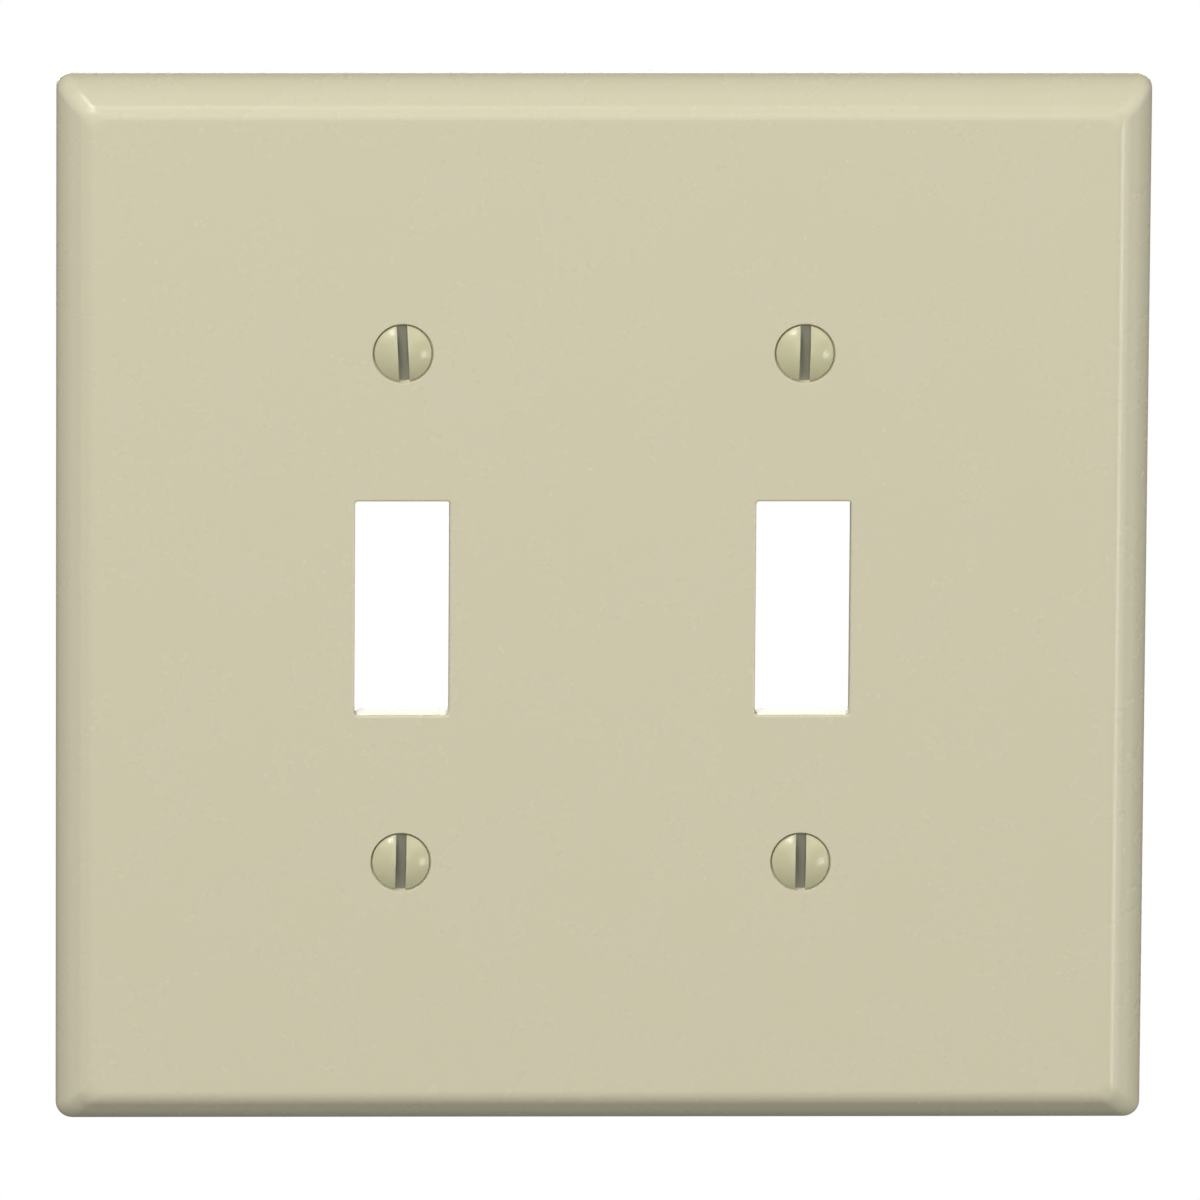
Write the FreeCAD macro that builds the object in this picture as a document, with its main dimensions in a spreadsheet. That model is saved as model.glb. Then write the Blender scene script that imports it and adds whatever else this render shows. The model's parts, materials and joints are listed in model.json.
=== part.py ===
import FreeCAD, Part
import math
import os
import Sketcher

# A two-gang toggle-switch wall plate and its four slotted oval-head screws, in millimetres.
#
# Frame: +Z up, +X to the right as seen from the front, the face towards -Y. The origin lies on
# the wall plane, midway between the two toggle openings. A "level" is a distance in front of
# that plane, so the plate's back rim is at level 0 and its face at level plate_depth.

DIMENSIONS = [
    ("plate_width", 125.4, "over the rim, left to right"),
    ("plate_height", 123.9, "over the rim, bottom to top"),
    ("plate_depth", 6.5, "wall plane to face"),
    ("rim_tilt", 62.0, "degrees between the edge's foot and the wall plane"),
    ("turn_tilt", 46.0, "degrees left where the long curve meets the rounding"),
    ("curve_radius", 15.9, "long curve that leans the edge in"),
    ("round_radius", 2.5, "tighter rounding from that curve to the face"),
    ("rim_corner", 1.8, "corner radius at the rim"),
    ("slope_corner", 1.8, "corner radius where the long curve ends"),
    ("face_corner", 1.5, "corner radius where the flat face begins"),
    ("rim_land", 2.3, "flat rim that rests on the wall"),
    ("hollow_depth", 3.8, "wall plane to the inside of the web"),
    ("hollow_lean", 1.85, "how far the hollow's sides lean in"),
    ("hollow_corner", 2.4, "corner radius of the hollow"),
    ("gang_spacing", 46.04, "centre to centre of the two switches, 1 13/16 inch"),
    ("opening_width", 10.85, "toggle opening, left to right"),
    ("opening_height", 25.35, "toggle opening, bottom to top"),
    ("opening_corner", 0.35, "corner radius of the toggle opening"),
    ("opening_lip", 0.25, "rounding of the opening's front edge"),
    ("collar_wall", 1.6, "raised collar round each opening, on the back"),
    ("collar_rise", 0.5, "how far that collar stands up from the web"),
    ("screw_spacing", 60.33, "centre to centre of a switch's two screws, 2 3/8 inch"),
    ("boss_diameter", 8.6, "boss round each screw hole, on the back"),
    ("boss_rise", 0.9, "how far the boss stands up from the web"),
    ("hole_diameter", 4.0, "screw clearance hole"),
    ("seat_diameter", 7.0, "mouth of the screw seat"),
    ("seat_edge", 0.3, "straight part of the seat below the face"),
    ("seat_angle", 82.0, "degrees, cone of the seat and of the screw head"),
    ("rib_width", 1.2, "stiffening ribs on the back"),
    ("rib_rise", 1.4, "how far a rib stands up from the web"),
    ("rib_offset", 44.0, "cross ribs above and below the centre"),
    ("head_diameter", 6.6, "oval screw head"),
    ("head_drop", 0.12, "edge of the head below the face"),
    ("head_crown", 0.92, "height of the head's dome"),
    ("head_edge", 0.3, "straight edge of the head"),
    ("neck_diameter", 3.0, "plain neck under the head, where the thread runs out"),
    ("neck_length", 1.7, "that neck, about two pitches"),
    ("shank_diameter", 3.505, "No. 6 thread over its crests"),
    ("screw_length", 12.7, "edge of the head to the tip, 1/2 inch"),
    ("tip_bevel", 0.5, "bevel at the tip"),
    ("slot_width", 1.15, "screwdriver slot"),
    ("slot_depth", 1.35, "screwdriver slot, below the dome"),
]

CURVE_STEPS = 6
HORIZONTAL_AXIS = -1
VERTICAL_AXIS = -2
ORIGIN_POINT = (-1, 1)
START, END, CENTRE = 1, 2, 3

CURVE_INSET = "dims.curve_radius * (sin(dims.rim_tilt) - sin(dims.turn_tilt))"
CURVE_DEPTH = "dims.curve_radius * (cos(dims.turn_tilt) - cos(dims.rim_tilt))"
ROUND_DEPTH = "dims.round_radius * (1 - cos(dims.turn_tilt))"
SKIRT_DEPTH = f"dims.plate_depth - {CURVE_DEPTH} - {ROUND_DEPTH}"

# Side of each screw, then how far its slot leans anticlockwise as seen from the front, degrees.
SCREWS = {
    "screw_upper_left": (-1, 1, 2.7),
    "screw_upper_right": (1, 1, -1.3),
    "screw_lower_left": (-1, -1, -1.2),
    "screw_lower_right": (1, -1, -0.7),
}

doc = FreeCAD.newDocument("wall_plate")
sheet = doc.addObject("Spreadsheet::Sheet", "dims")
for row, (alias, value, meaning) in enumerate(DIMENSIONS, start=1):
    sheet.set(f"A{row}", meaning)
    sheet.set(f"B{row}", str(value))
    sheet.setAlias(f"B{row}", alias)
doc.recompute()


def worked_out(expression):
    """The number that a formula in the sheet's terms gives."""
    return float(sheet.evalExpression(expression))


def new_body(label):
    body = doc.addObject("PartDesign::Body", label)
    body.Label = label
    return body


def new_sketch(body, name, role="XZ_Plane", level="0"):
    """A sketch on one of the body's own planes, moved along its normal by a level."""
    plane = next(item for item in body.Origin.OriginFeatures if item.Role == role)
    sketch = body.newObject("Sketcher::SketchObject", name)
    sketch.AttachmentSupport = [(plane, "")]
    sketch.MapMode = "FlatFace"
    sketch.setExpression("AttachmentOffset.Base.z", level)
    return sketch


def bind(sketch, constraint, name, expression):
    """Add a constraint with a name and let a formula drive it."""
    number = sketch.addConstraint(constraint)
    sketch.renameConstraint(number, name)
    sketch.setExpression(f"Constraints.{name}", expression)


def place_point(sketch, index, position, across, up):
    """Hold a point of the sketch at formula-driven distances from the origin."""
    for kind, expression, axis in (
        ("DistanceX", across, VERTICAL_AXIS),
        ("DistanceY", up, HORIZONTAL_AXIS),
    ):
        distance = worked_out(expression)
        if distance == 0:
            sketch.addConstraint(Sketcher.Constraint("PointOnObject", index, position, axis))
            continue
        ends = (*ORIGIN_POINT, index, position)
        if distance < 0:
            ends = (index, position, *ORIGIN_POINT)
        constraint = Sketcher.Constraint(kind, *ends, abs(distance))
        bind(sketch, constraint, f"{kind}_{index}_{position}", f"abs({expression})")


def draw_rectangle(sketch, width, height, radius, across="0", up="0"):
    """A round-cornered rectangle centred at (across, up); every size is a formula."""
    half_width = worked_out(width) / 2
    half_height = worked_out(height) / 2
    corner = worked_out(radius)
    centre_x = worked_out(across)
    centre_z = worked_out(up)

    def point(x, z):
        return FreeCAD.Vector(centre_x + x, centre_z + z, 0)

    flat_x = half_width - corner
    flat_z = half_height - corner
    sides = [
        ((-flat_x, -half_height), (flat_x, -half_height)),
        ((half_width, -flat_z), (half_width, flat_z)),
        ((flat_x, half_height), (-flat_x, half_height)),
        ((-half_width, flat_z), (-half_width, -flat_z)),
    ]
    first = sketch.GeometryCount
    for start, end in sides:
        sketch.addGeometry(Part.LineSegment(point(*start), point(*end)), False)
    corners = [(flat_x, -flat_z), (flat_x, flat_z), (-flat_x, flat_z), (-flat_x, -flat_z)]
    for quarter, centre in enumerate(corners, start=3):
        circle = Part.Circle(point(*centre), FreeCAD.Vector(0, 0, 1), corner)
        turn = math.radians(90 * quarter)
        sketch.addGeometry(Part.ArcOfCircle(circle, turn, turn + math.radians(90)), False)
    sketch.addGeometry(Part.Point(point(0, 0)), True)
    lines = [first + step for step in range(4)]
    arcs = [first + 4 + step for step in range(4)]
    middle = first + 8
    for step in range(4):
        following = lines[(step + 1) % 4]
        sketch.addConstraint(Sketcher.Constraint("Tangent", lines[step], END, arcs[step], START))
        sketch.addConstraint(Sketcher.Constraint("Tangent", arcs[step], END, following, START))
    for line in lines[0::2]:
        sketch.addConstraint(Sketcher.Constraint("Horizontal", line))
    for line in lines[1::2]:
        sketch.addConstraint(Sketcher.Constraint("Vertical", line))
    for arc in arcs[1:]:
        sketch.addConstraint(Sketcher.Constraint("Equal", arcs[0], arc))
    opposite = (arcs[3], CENTRE, arcs[1], CENTRE, middle, START)
    sketch.addConstraint(Sketcher.Constraint("Symmetric", *opposite))
    place_point(sketch, middle, START, across, up)
    wide = Sketcher.Constraint("DistanceX", lines[3], START, lines[1], START, 2 * half_width)
    tall = Sketcher.Constraint("DistanceY", lines[0], START, lines[2], START, 2 * half_height)
    bind(sketch, wide, f"width_{first}", width)
    bind(sketch, tall, f"height_{first}", height)
    bind(sketch, Sketcher.Constraint("Radius", arcs[0], corner), f"radius_{first}", radius)


def draw_circle(sketch, diameter, across, up):
    """A circle centred at (across, up); every size is a formula."""
    centre = FreeCAD.Vector(worked_out(across), worked_out(up), 0)
    radius = worked_out(diameter) / 2
    index = sketch.addGeometry(Part.Circle(centre, FreeCAD.Vector(0, 0, 1), radius), False)
    place_point(sketch, index, CENTRE, across, up)
    constraint = Sketcher.Constraint("Diameter", index, 2 * radius)
    bind(sketch, constraint, f"diameter_{index}", diameter)


def add_feature(body, kind, name, sketch):
    feature = body.newObject(f"PartDesign::{kind}", name)
    feature.Profile = (sketch, [""])
    sketch.Visibility = False
    return feature


def add_loft(body, kind, name, sketches, ruled):
    loft = add_feature(body, kind, name, sketches[0])
    loft.Sections = [(sketch, [""]) for sketch in sketches[1:]]
    loft.Ruled = ruled
    doc.recompute()
    return loft


def check_volume(body, before, grows):
    """Stop if a feature did not change the solid the way it should."""
    doc.recompute()
    after = body.Shape.Volume
    if (after > before) != grows or after == before:
        raise RuntimeError(f"{body.Tip.Name}: volume went from {before} to {after}")
    return after


def outline(body, name, inset, corner, level):
    """The plate's outline at one level, drawn in from the rim by an inset."""
    sketch = new_sketch(body, name, level=level)
    width = f"dims.plate_width - 2 * ({inset})"
    height = f"dims.plate_height - 2 * ({inset})"
    draw_rectangle(sketch, width, height, corner)
    return sketch


def edge_curve(body, name, start, tilts, radius, corners):
    """A loft round the plate whose section is an arc, from one tilt and corner radius to the next.

    Start is the arc's first inset and level; every size is a formula.
    """
    inset_start, level_start = start
    tilt_start, tilt_end = tilts
    corner_start, corner_end = corners
    sections = []
    for step in range(CURVE_STEPS + 1):
        part = step / CURVE_STEPS
        tilt = f"({tilt_start} + ({tilt_end} - {tilt_start}) * {part})"
        inset = f"{inset_start} + {radius} * (sin({tilt_start}) - sin({tilt}))"
        level = f"{level_start} + {radius} * (cos({tilt}) - cos({tilt_start}))"
        corner = f"{corner_start} + ({corner_end} - {corner_start}) * {part}"
        sections.append(outline(body, f"{name}_{step}", inset, corner, level))
    add_loft(body, "AdditiveLoft", name, sections, ruled=False)


def build_shell(body):
    """The plate's outside: a short skirt, a long curve and a rounding to the flat face."""
    rim = outline(body, "rim_outline", "0", "dims.rim_corner", "0")
    skirt = add_feature(body, "Pad", "skirt", rim)
    skirt.setExpression("Length", SKIRT_DEPTH)
    volume = check_volume(body, 0, grows=True)

    edge_curve(
        body,
        "long_curve",
        ("0", SKIRT_DEPTH),
        ("dims.rim_tilt", "dims.turn_tilt"),
        "dims.curve_radius",
        ("dims.rim_corner", "dims.slope_corner"),
    )
    volume = check_volume(body, volume, grows=True)

    edge_curve(
        body,
        "rounding",
        (CURVE_INSET, f"dims.plate_depth - {ROUND_DEPTH}"),
        ("dims.turn_tilt", "0"),
        "dims.round_radius",
        ("dims.slope_corner", "dims.face_corner"),
    )
    check_volume(body, volume, grows=True)


def build_back(body):
    """The moulded back: hollow, collars round the openings, screw bosses and ribs."""
    volume = body.Shape.Volume
    mouth = outline(body, "hollow_mouth", "dims.rim_land", "dims.hollow_corner", "0")
    floor_inset = "dims.rim_land + dims.hollow_lean"
    floor = outline(body, "hollow_floor", floor_inset, "dims.slope_corner", "dims.hollow_depth")
    add_loft(body, "SubtractiveLoft", "hollow", [mouth, floor], ruled=True)
    volume = check_volume(body, volume, grows=False)

    web_overlap = "(dims.plate_depth - dims.hollow_depth) / 2"

    collars = new_sketch(body, "collar_outlines", level="dims.hollow_depth - dims.collar_rise")
    for side in (-1, 1):
        draw_rectangle(
            collars,
            "dims.opening_width + 2 * dims.collar_wall",
            "dims.opening_height + 2 * dims.collar_wall",
            "dims.opening_corner + dims.collar_wall",
            across=f"{side} * dims.gang_spacing / 2",
        )
    pad = add_feature(body, "Pad", "opening_collars", collars)
    pad.setExpression("Length", f"dims.collar_rise + {web_overlap}")
    volume = check_volume(body, volume, grows=True)

    bosses = new_sketch(body, "boss_outlines", level="dims.hollow_depth - dims.boss_rise")
    for across, up, _ in SCREWS.values():
        centre = (f"{across} * dims.gang_spacing / 2", f"{up} * dims.screw_spacing / 2")
        draw_circle(bosses, "dims.boss_diameter", *centre)
    pad = add_feature(body, "Pad", "screw_bosses", bosses)
    pad.setExpression("Length", f"dims.boss_rise + {web_overlap}")
    volume = check_volume(body, volume, grows=True)

    rib_level = "dims.hollow_depth - dims.rib_rise"
    rib_reach = "2 * dims.rim_land"
    corner = "dims.rib_width / 4"
    upright = new_sketch(body, "upright_rib_outline", level=rib_level)
    draw_rectangle(upright, "dims.rib_width", f"dims.plate_height - {rib_reach}", corner)
    cross = new_sketch(body, "cross_rib_outlines", level=rib_level)
    for side in (-1, 1):
        up = f"{side} * dims.rib_offset"
        draw_rectangle(cross, f"dims.plate_width - {rib_reach}", "dims.rib_width", corner, up=up)
    for name, sketch in (("upright_rib", upright), ("cross_ribs", cross)):
        pad = add_feature(body, "Pad", name, sketch)
        pad.setExpression("Length", f"dims.rib_rise + {web_overlap}")
        volume = check_volume(body, volume, grows=True)


def lip_edges(body):
    """The front edges of the two toggle openings."""
    depth = worked_out("dims.plate_depth")
    reach_x = worked_out("(dims.gang_spacing + dims.opening_width) / 2")
    reach_z = worked_out("dims.opening_height / 2")
    margin = 0.01
    names = []
    for number, edge in enumerate(body.Shape.Edges, start=1):
        box = edge.BoundBox
        on_face = box.YMin < -depth + margin and box.YMax < -depth + margin
        in_reach = max(-box.XMin, box.XMax) < reach_x + margin
        in_height = max(-box.ZMin, box.ZMax) < reach_z + margin
        if on_face and in_reach and in_height:
            names.append(f"Edge{number}")
    return names


def build_openings(body):
    """The two toggle openings and the four screw holes with their seats."""
    volume = body.Shape.Volume
    toggles = new_sketch(body, "toggle_outlines")
    for side in (-1, 1):
        draw_rectangle(
            toggles,
            "dims.opening_width",
            "dims.opening_height",
            "dims.opening_corner",
            across=f"{side} * dims.gang_spacing / 2",
        )
    pocket = add_feature(body, "Pocket", "toggle_openings", toggles)
    pocket.Type = "ThroughAll"
    pocket.Reversed = True
    volume = check_volume(body, volume, grows=False)

    centres = new_sketch(body, "screw_centres", level="dims.plate_depth")
    for across, up, _ in SCREWS.values():
        centre = (f"{across} * dims.gang_spacing / 2", f"{up} * dims.screw_spacing / 2")
        draw_circle(centres, "dims.hole_diameter", *centre)
    doc.recompute()
    holes = add_feature(body, "Hole", "screw_holes", centres)
    holes.DepthType = "ThroughAll"
    holes.HoleCutType = "Counterdrill"
    holes.setExpression("Diameter", "dims.hole_diameter")
    holes.setExpression("HoleCutDiameter", "dims.seat_diameter")
    holes.setExpression("HoleCutDepth", "dims.seat_edge")
    holes.setExpression("HoleCutCountersinkAngle", "dims.seat_angle")
    volume = check_volume(body, volume, grows=False)

    lips = body.newObject("PartDesign::Fillet", "opening_lips")
    lips.Base = (holes, lip_edges(body))
    lips.setExpression("Radius", "dims.opening_lip")
    check_volume(body, volume, grows=False)


def draw_half_screw(sketch):
    """Half of a screw's lengthwise section; its dome is an arc and the rest straight lines."""
    cone_length = "(dims.head_diameter - dims.neck_diameter) / 2 / tan(dims.seat_angle / 2)"
    thread_start = f"dims.head_edge + {cone_length} + dims.neck_length"
    thread_full = f"{thread_start} + (dims.shank_diameter - dims.neck_diameter) / 2"
    corners = [
        ("dims.head_diameter / 2", "0"),
        ("dims.head_diameter / 2", "-dims.head_edge"),
        ("dims.neck_diameter / 2", f"-dims.head_edge - {cone_length}"),
        ("dims.neck_diameter / 2", f"-({thread_start})"),
        ("dims.shank_diameter / 2", f"-({thread_full})"),
        ("dims.shank_diameter / 2", "dims.tip_bevel - dims.screw_length"),
        ("dims.shank_diameter / 2 - dims.tip_bevel", "-dims.screw_length"),
        ("0", "-dims.screw_length"),
        ("0", "dims.head_crown"),
    ]
    points = [FreeCAD.Vector(worked_out(x), worked_out(y), 0) for x, y in corners]
    last = len(points) - 2
    for start, end in zip(points, points[1:]):
        sketch.addGeometry(Part.LineSegment(start, end), False)
    for index in range(last):
        sketch.addConstraint(Sketcher.Constraint("Coincident", index, END, index + 1, START))
    for index, corner in enumerate(corners[:-1]):
        place_point(sketch, index, START, *corner)
    place_point(sketch, last, END, *corners[-1])

    half_head = points[0].x
    crown = points[-1].y
    dome_radius = (half_head**2 + crown**2) / (2 * crown)
    centre = FreeCAD.Vector(0, crown - dome_radius, 0)
    circle = Part.Circle(centre, FreeCAD.Vector(0, 0, 1), dome_radius)
    edge_angle = math.acos(half_head / dome_radius)
    dome = sketch.addGeometry(Part.ArcOfCircle(circle, edge_angle, math.pi / 2), False)
    sketch.addConstraint(Sketcher.Constraint("Coincident", dome, START, 0, START))
    sketch.addConstraint(Sketcher.Constraint("Coincident", dome, END, last, END))
    sketch.addConstraint(Sketcher.Constraint("PointOnObject", dome, CENTRE, VERTICAL_AXIS))


def build_screw(label, across, up, lean):
    """A slotted oval-head machine screw, its head's edge at its own origin and its dome up +Z."""
    body = new_body(label)
    profile = new_sketch(body, f"{label}_profile")
    draw_half_screw(profile)
    turned = add_feature(body, "Revolution", f"{label}_turned", profile)
    turned.ReferenceAxis = (profile, ["V_Axis"])
    turned.Angle = 360
    volume = check_volume(body, 0, grows=True)

    slot = new_sketch(body, f"{label}_slot_outline", role="XY_Plane", level="dims.head_crown")
    slot_length = "dims.head_diameter + 2 * dims.slot_width"
    draw_rectangle(slot, "dims.slot_width", slot_length, "dims.slot_width / 8")
    cut = add_feature(body, "Pocket", f"{label}_slot", slot)
    cut.setExpression("Length", "dims.slot_depth")
    check_volume(body, volume, grows=False)

    facing_front = FreeCAD.Rotation(FreeCAD.Vector(1, 0, 0), 90)
    leaning = FreeCAD.Rotation(FreeCAD.Vector(0, 0, 1), lean)
    body.Placement = FreeCAD.Placement(FreeCAD.Vector(), facing_front * leaning)
    body.setExpression("Placement.Base.x", f"{across} * dims.gang_spacing / 2")
    body.setExpression("Placement.Base.y", "dims.head_drop - dims.plate_depth")
    body.setExpression("Placement.Base.z", f"{up} * dims.screw_spacing / 2")
    return body


def check_document():
    """Stop if anything in the document failed to build."""
    doc.recompute()
    for item in doc.Objects:
        if "Invalid" in item.State or "Error" in item.State:
            raise RuntimeError(f"{item.Name} is {item.State}")
    for sketch in doc.findObjects("Sketcher::SketchObject"):
        if sketch.solve() != 0:
            raise RuntimeError(f"{sketch.Name} has clashing constraints")


plate = new_body("wall_plate")
build_shell(plate)
build_back(plate)
build_openings(plate)
bodies = [plate]
for name, (across, up, lean) in SCREWS.items():
    bodies.append(build_screw(name, across, up, lean))
check_document()

os.makedirs("parts", exist_ok=True)
for body in bodies:
    shape = body.Shape
    if shape.isNull() or not shape.isValid() or len(shape.Solids) != 1:
        raise RuntimeError(f"{body.Label} is not one sound solid")
    shape.exportStep(f"parts/{body.Label}.step")
    box = shape.BoundBox
    print(body.Label, f"{shape.Volume:.1f} mm3", f"{box.XLength:.2f} {box.YLength:.2f} {box.ZLength:.2f}")
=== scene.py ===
import json
import math

import bpy
from mathutils import Matrix, Vector


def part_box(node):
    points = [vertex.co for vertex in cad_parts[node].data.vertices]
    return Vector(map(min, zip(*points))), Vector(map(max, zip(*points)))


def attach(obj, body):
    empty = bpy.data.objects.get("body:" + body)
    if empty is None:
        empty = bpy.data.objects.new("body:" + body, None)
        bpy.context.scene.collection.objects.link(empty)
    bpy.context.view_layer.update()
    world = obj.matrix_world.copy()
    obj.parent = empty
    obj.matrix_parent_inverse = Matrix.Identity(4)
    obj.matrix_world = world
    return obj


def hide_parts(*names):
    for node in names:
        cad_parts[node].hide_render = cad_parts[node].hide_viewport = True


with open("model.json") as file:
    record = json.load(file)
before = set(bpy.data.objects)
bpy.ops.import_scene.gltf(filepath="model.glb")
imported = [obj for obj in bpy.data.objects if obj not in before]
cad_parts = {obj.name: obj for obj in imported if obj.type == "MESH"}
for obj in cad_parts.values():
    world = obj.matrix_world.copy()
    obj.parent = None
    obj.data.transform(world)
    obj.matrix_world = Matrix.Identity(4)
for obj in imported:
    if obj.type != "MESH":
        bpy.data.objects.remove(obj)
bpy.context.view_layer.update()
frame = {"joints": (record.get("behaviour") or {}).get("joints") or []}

# ---------------------------------------------------------------------------------------------
# Wall plate: one compression moulding in ivory urea plastic, coloured right through. Its edge is
# a short straight skirt and two slopes, the second flatter, each blended into the next.
# The hollow back carries collars round the toggle openings, screw bosses and thin ribs.
# ---------------------------------------------------------------------------------------------

MM = 0.001
BIG_ROUNDING_STEPS = 16
SMALL_ROUNDING_STEPS = 4

plate_low, plate_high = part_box("wall_plate")
half_width = (plate_high.x - plate_low.x) / 2
half_height = (plate_high.z - plate_low.z) / 2
plate_depth = plate_high.y - plate_low.y
screw_seats = {joint["child"]: Vector(joint["pos_m"]) for joint in frame["joints"]}
half_gang = screw_seats["upper_right_screw"].x
half_screws = screw_seats["upper_right_screw"].z

rim_tilt = math.radians(62)
turn_tilt = math.radians(46)
edge_sweep = 15.9 * MM
face_rounding = 2.5 * MM
skirt_rounding = 4.4 * MM
slope_rounding = 8.0 * MM
edge_corner = 1.8 * MM
sweep_reach = edge_sweep * math.tan((rim_tilt - turn_tilt) / 2)
rounding_reach = face_rounding * math.tan(turn_tilt / 2)
turn_run = sweep_reach + rounding_reach
face_corner_inset = sweep_reach * math.cos(rim_tilt) + turn_run * math.cos(turn_tilt)
skirt_depth = plate_depth - sweep_reach * math.sin(rim_tilt) - turn_run * math.sin(turn_tilt)
rim_land = 2.3 * MM
hollow_depth = 3.8 * MM
hollow_lean = 1.85 * MM
opening_half = (5.425 * MM, 12.675 * MM)
opening_lip = 0.25 * MM
opening_corner = 0.35 * MM
collar_wall = 1.6 * MM
collar_rise = 0.5 * MM
collar_corner = opening_corner + collar_wall
back_rounding = 0.2 * MM
boss_radius = 4.3 * MM
boss_rise = 0.9 * MM
rib_half_width = 0.6 * MM
rib_rise = 1.4 * MM
rib_corner = 0.3 * MM
rib_offset = 44 * MM
seat_radius = 3.5 * MM
seat_edge = 0.3 * MM
seat_half_angle = math.radians(41)
hole_radius = 2.0 * MM
ejector_radius = 2.5 * MM
ejector_sink = 0.12 * MM
ejector_spread = (88 * MM, 104 * MM)


def add_node(tree, kind, inputs=None, **settings):
    """Add a node, apply its settings, and give each input a value or a link."""
    node = tree.nodes.new(kind)
    for setting, value in settings.items():
        setattr(node, setting, value)
    for socket, value in (inputs or {}).items():
        if isinstance(value, bpy.types.NodeSocket):
            tree.links.new(value, node.inputs[socket])
        else:
            node.inputs[socket].default_value = value
    return node


def start_tree(name, sizes):
    """A geometry tree with a mesh in, a mesh out and one named input for each size."""
    tree = bpy.data.node_groups.new(name, "GeometryNodeTree")
    tree.interface.new_socket("Mesh", in_out="OUTPUT", socket_type="NodeSocketGeometry")
    tree.interface.new_socket("Mesh", in_out="INPUT", socket_type="NodeSocketGeometry")
    for size, kind in sizes.items():
        tree.interface.new_socket(size, in_out="INPUT", socket_type=f"NodeSocket{kind}")
    given = tree.nodes.new("NodeGroupInput").outputs
    result = tree.nodes.new("NodeGroupOutput").inputs
    return tree, given, result


def run_tree(piece, tree, sizes):
    """Run a geometry tree on a mesh object and keep its result as the object's plain mesh."""
    modifier = piece.modifiers.new(tree.name, "NODES")
    modifier.node_group = tree
    sockets = {item.name: item.identifier for item in tree.interface.items_tree if item.in_out == "INPUT"}
    for size, value in sizes.items():
        modifier[sockets[size]] = value
    evaluated = piece.evaluated_get(bpy.context.evaluated_depsgraph_get())
    result = bpy.data.meshes.new_from_object(evaluated)
    piece.modifiers.clear()
    piece.data = result
    return piece


def lay_points(name, points):
    """A mesh object that holds only a list of points, for a tree to read."""
    mesh = bpy.data.meshes.new(name)
    mesh.from_pydata([tuple(point) for point in points], [], [])
    holder = bpy.data.objects.new(name, mesh)
    bpy.context.scene.collection.objects.link(holder)
    return holder


# The rule that shapes every moulded form: a list of stations (inset, level, corner radius) is
# swept round a round-cornered outline. Level counts from the wall plane towards the front.
sweep, given, result = start_tree("moulded_outline", {"Half Size": "Vector", "Corner Steps": "Int"})
stations = add_node(sweep, "GeometryNodeAttributeDomainSize", {0: given["Mesh"]})
samples = add_node(sweep, "FunctionNodeIntegerMath", {0: given["Corner Steps"], 1: 1}, operation="ADD")
around = add_node(
    sweep,
    "FunctionNodeIntegerMath",
    {0: samples.outputs[0], 1: 4, 2: 1},
    operation="MULTIPLY_ADD",
)
grid = add_node(
    sweep,
    "GeometryNodeMeshGrid",
    {"Vertices X": stations.outputs["Point Count"], "Vertices Y": around.outputs[0]},
)
index = add_node(sweep, "GeometryNodeInputIndex")
row = add_node(
    sweep,
    "FunctionNodeIntegerMath",
    {0: index.outputs[0], 1: around.outputs[0]},
    operation="DIVIDE",
)
column = add_node(
    sweep,
    "FunctionNodeIntegerMath",
    {0: index.outputs[0], 1: around.outputs[0]},
    operation="MODULO",
)
quarter = add_node(
    sweep,
    "FunctionNodeIntegerMath",
    {0: column.outputs[0], 1: samples.outputs[0]},
    operation="DIVIDE",
)
step = add_node(
    sweep,
    "FunctionNodeIntegerMath",
    {0: column.outputs[0], 1: samples.outputs[0]},
    operation="MODULO",
)
share = add_node(
    sweep,
    "ShaderNodeMath",
    {0: step.outputs[0], 1: given["Corner Steps"]},
    operation="DIVIDE",
)
turns = add_node(sweep, "ShaderNodeMath", {0: quarter.outputs[0], 1: share.outputs[0]}, operation="ADD")
angle = add_node(sweep, "ShaderNodeMath", {0: turns.outputs[0], 1: math.pi / 2}, operation="MULTIPLY")
middle = add_node(
    sweep,
    "ShaderNodeMath",
    {0: quarter.outputs[0], 1: math.pi / 2, 2: math.pi / 4},
    operation="MULTIPLY_ADD",
)
quadrant = add_node(sweep, "ShaderNodeCombineXYZ")
direction = add_node(sweep, "ShaderNodeCombineXYZ")
for socket, turn in (("X", "COSINE"), ("Z", "SINE")):
    side = add_node(sweep, "ShaderNodeMath", {0: middle.outputs[0]}, operation=turn)
    sign = add_node(sweep, "ShaderNodeMath", {0: side.outputs[0]}, operation="SIGN")
    sweep.links.new(sign.outputs[0], quadrant.inputs[socket])
    along = add_node(sweep, "ShaderNodeMath", {0: angle.outputs[0]}, operation=turn)
    sweep.links.new(along.outputs[0], direction.inputs[socket])
place = add_node(sweep, "GeometryNodeInputPosition")
station = add_node(
    sweep,
    "GeometryNodeSampleIndex",
    {"Geometry": given["Mesh"], "Value": place.outputs[0], "Index": row.outputs[0]},
    data_type="FLOAT_VECTOR",
    domain="POINT",
)
parts = add_node(sweep, "ShaderNodeSeparateXYZ", {0: station.outputs["Value"]})
pulled_in = add_node(
    sweep,
    "ShaderNodeMath",
    {0: parts.outputs["X"], 1: parts.outputs["Z"]},
    operation="ADD",
)
inwards = add_node(sweep, "ShaderNodeCombineXYZ", {"X": pulled_in.outputs[0], "Z": pulled_in.outputs[0]})
centre = add_node(
    sweep, "ShaderNodeVectorMath", {0: given["Half Size"], 1: inwards.outputs[0]}, operation="SUBTRACT"
)
corner = add_node(
    sweep, "ShaderNodeVectorMath", {0: centre.outputs[0], 1: quadrant.outputs[0]}, operation="MULTIPLY"
)
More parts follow.
